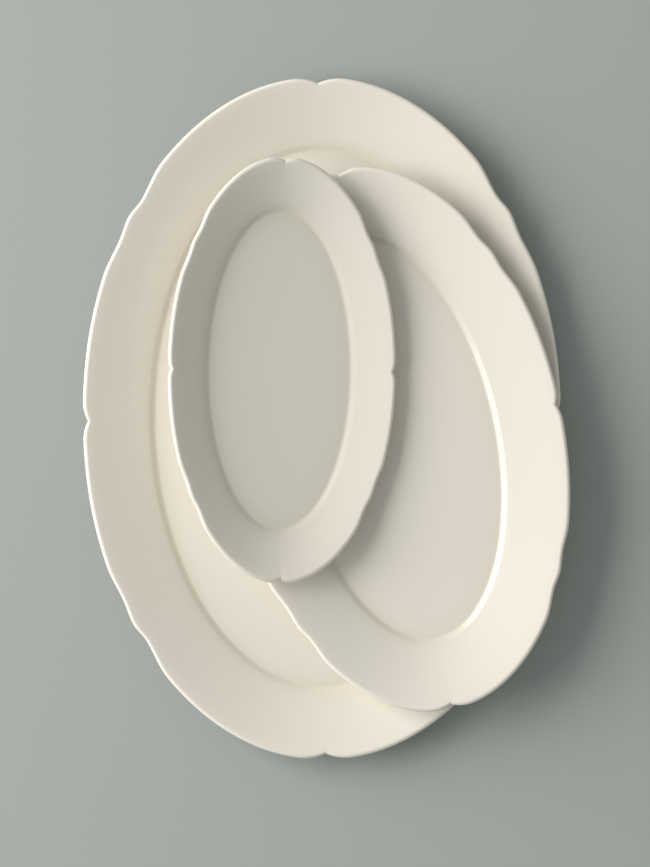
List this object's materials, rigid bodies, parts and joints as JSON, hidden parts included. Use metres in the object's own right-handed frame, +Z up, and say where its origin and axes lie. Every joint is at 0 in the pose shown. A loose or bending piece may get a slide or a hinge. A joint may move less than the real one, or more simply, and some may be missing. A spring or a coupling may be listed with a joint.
{
  "type": "nesting set of oval serving platters",
  "caption": "Stack of matching oval serving platters in warm white glazed china, with bracket-notched rims and shallow wells.",
  "frame": {"origin": "middle of the underside of the whole stack's bounding box, on the table that the large platter's foot ring stands on", "axes": "+Z up, +Y along the large platter, +X across it, towards the side that the medium platter overhangs"},
  "size_m": [0.2896, 0.4064, 0.0575],
  "materials": {
    "glazed_china": "warm white fired glaze, opaque and glossy, with an unglazed foot ring"
  },
  "bodies": {
    "large": {"large_platter": "glazed_china"},
    "medium": {"medium_platter": "glazed_china"},
    "small": {"small_platter": "glazed_china"}
  },
  "joints": [
    {"name": "medium_lift", "type": "slide", "parent": "large", "child": "medium", "axis": [0, 0, 1], "range_m": [0, 0.12]},
    {"name": "small_lift", "type": "slide", "parent": "medium", "child": "small", "axis": [0, 0, 1], "range_m": [0, 0.1]}
  ]
}
